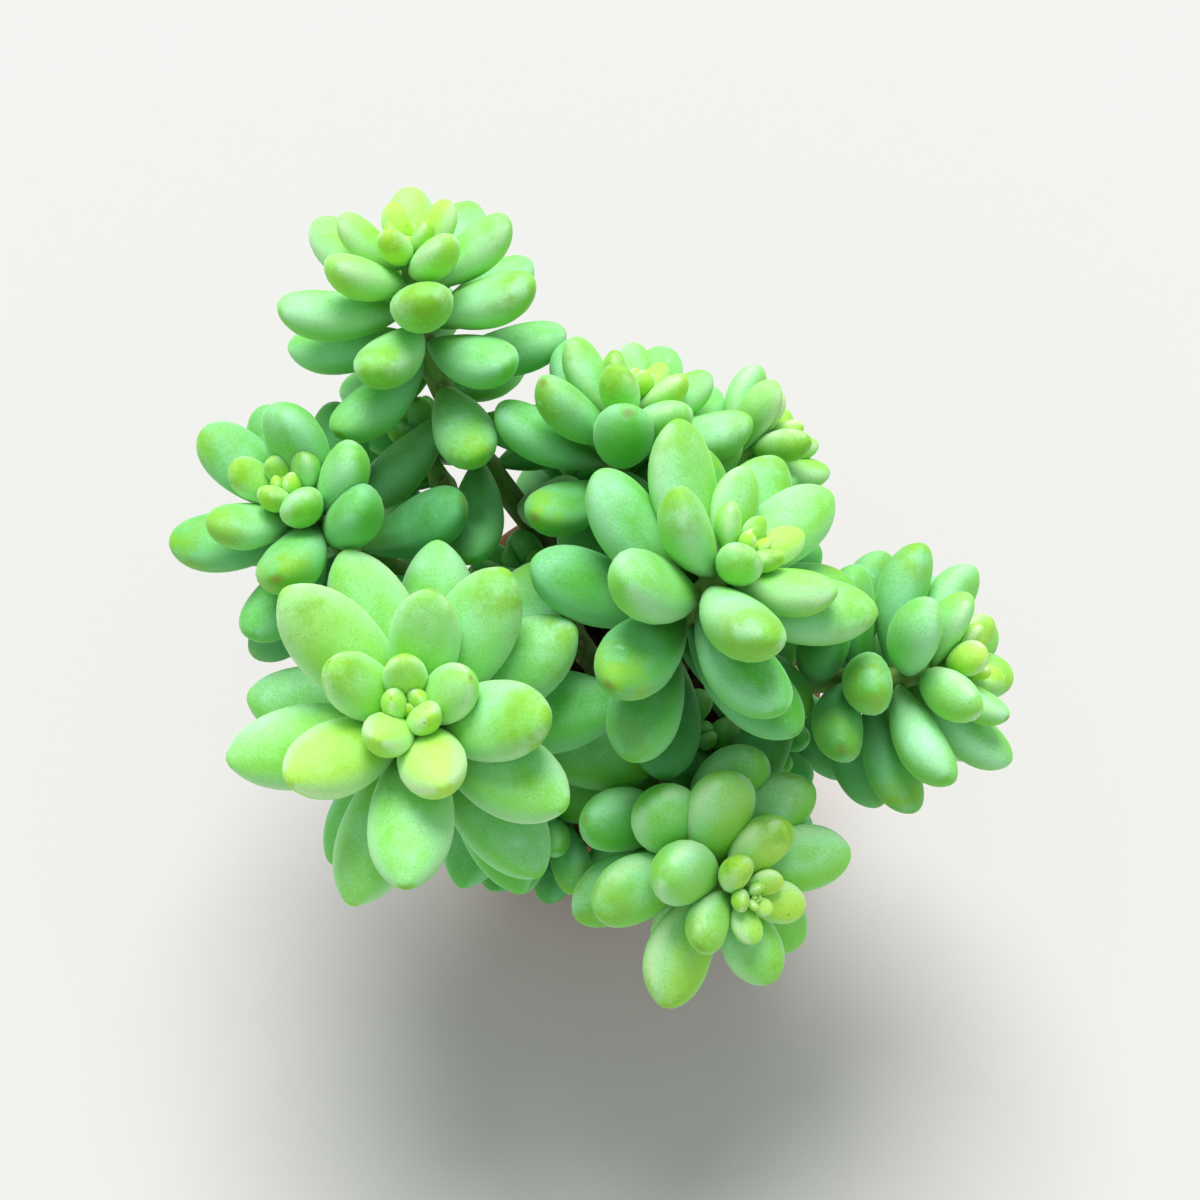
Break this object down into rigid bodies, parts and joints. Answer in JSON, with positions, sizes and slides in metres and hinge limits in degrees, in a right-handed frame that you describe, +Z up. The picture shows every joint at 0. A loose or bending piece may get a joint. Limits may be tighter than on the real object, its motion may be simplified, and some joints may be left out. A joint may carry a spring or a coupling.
{
  "type": "potted burro's tail plant",
  "caption": "Small trailing succulent with plump pointed leaves in spiral rosettes at its shoot tips, rooted in potting mix in a plain tapered clay pot.",
  "frame": {"origin": "middle of the underside of the pot's foot, on the surface that the pot stands on", "axes": "+Z up along the pot's axis; -Y towards the side that the picture looks from, with the large near shoots; +X to the picture's right"},
  "size_m": [0.1171, 0.1086, 0.1146],
  "materials": {
    "clay": "matte",
    "potting_mix": "matte",
    "leaf": "satin"
  },
  "bodies": {
    "root": {"pot": "clay", "soil": "potting_mix", "shoot_c": "leaf", "shoot_d": "leaf", "shoot_a": "leaf", "shoot_b": "leaf", "shoot_e": "leaf", "shoot_g": "leaf", "shoot_h": "leaf", "shoot_f": "leaf", "side_shoot_front": "leaf", "side_shoot_right": "leaf", "side_shoot_back": "leaf", "side_shoot_left": "leaf", "side_shoot_middle": "leaf", "side_shoot_inner": "leaf", "side_shoot_far": "leaf"}
  },
  "joints": []
}
